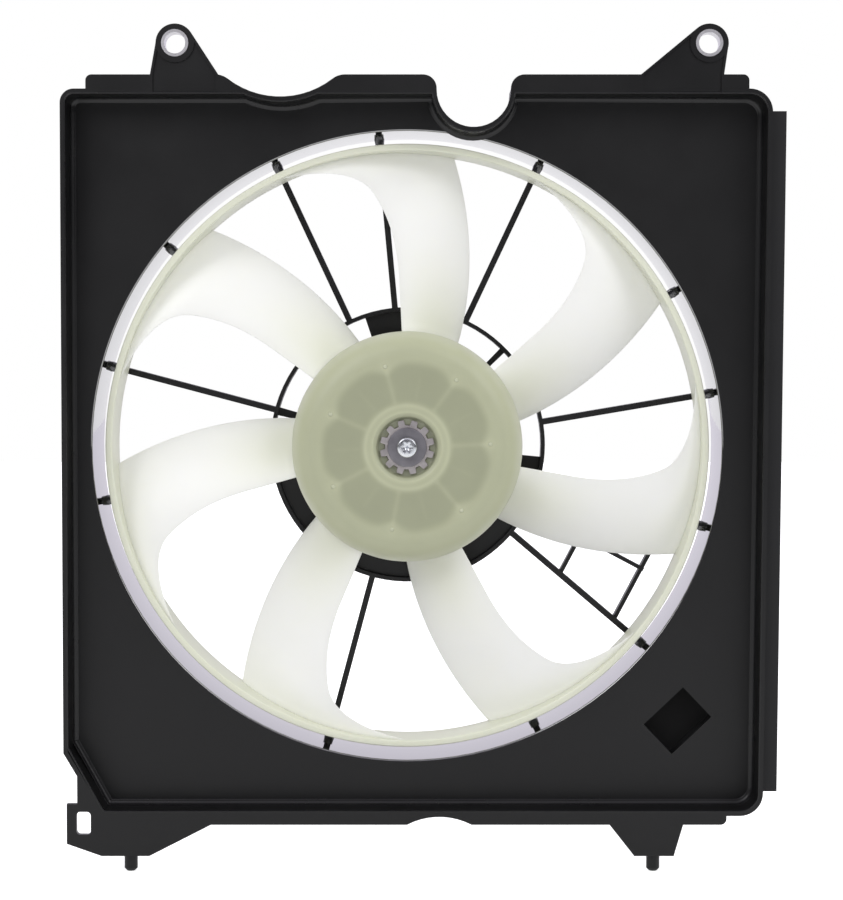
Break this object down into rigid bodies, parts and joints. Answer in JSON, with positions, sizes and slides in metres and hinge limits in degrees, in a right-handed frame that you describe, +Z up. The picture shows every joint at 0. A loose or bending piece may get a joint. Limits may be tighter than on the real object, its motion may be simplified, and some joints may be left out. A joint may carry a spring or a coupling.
{
  "type": "radiator cooling fan",
  "caption": "Electric radiator fan: square moulded shroud with barrel and radial struts, ringed curved-blade fan on a motor, two mounting ears, two locating pins.",
  "frame": {"origin": "midway between the two ear holes, on the front faces of their collars", "axes": "+Z up, +Y back from the radiator towards the engine along the fan's axis, +X to the right as seen from the radiator"},
  "size_m": [0.4241, 0.1305, 0.4972],
  "materials": {
    "black_polypropylene": "satin moulded, glossier barrel",
    "seal_strip": "matt",
    "natural_nylon": "natural, slightly translucent",
    "plated_steel": "zinc plated",
    "painted_steel": "black dip paint, semi gloss",
    "ferrite": "ground ferrite",
    "sintered_bronze": "oiled, matt",
    "ground_steel": "ground",
    "core_steel": "laminated",
    "enamelled_copper": "enamelled wire",
    "commutator_copper": "turned",
    "phenolic_card": "matt",
    "carbon": "pressed carbon",
    "spring_steel": "bright",
    "connector_nylon": "satin",
    "tinned_brass": "tin plated",
    "insert_zinc": "die cast, dull",
    "dark_steel": "dull"
  },
  "bodies": {
    "mounted": {"shroud": "black_polypropylene", "side_seal_strip": "seal_strip", "left_collar": "plated_steel", "right_collar": "plated_steel", "motor_bracket": "plated_steel", "motor_can": "painted_steel", "magnet_1": "ferrite", "magnet_2": "ferrite", "magnet_3": "ferrite", "magnet_4": "ferrite", "front_bearing": "sintered_bronze", "rear_bearing": "sintered_bronze", "brush_card": "phenolic_card", "brush_1": "carbon", "brush_2": "carbon", "brush_spring_1": "spring_steel", "brush_spring_2": "spring_steel", "card_screws": "plated_steel", "connector_housing": "connector_nylon", "connector_terminals": "tinned_brass", "motor_screws": "plated_steel", "thrust_washer": "ground_steel"},
    "rotor": {"fan": "natural_nylon", "hub_insert": "insert_zinc", "hub_washer": "dark_steel", "hub_screw": "plated_steel", "motor_shaft": "ground_steel", "armature_core": "core_steel", "armature_winding": "enamelled_copper", "commutator": "commutator_copper", "shaft_clip": "spring_steel"}
  },
  "joints": [
    {"name": "fan_spin", "type": "hinge", "parent": "mounted", "child": "rotor", "pos_m": [-0.02055, 0.045, -0.2358], "axis": [0, 1, 0], "continuous": true}
  ]
}
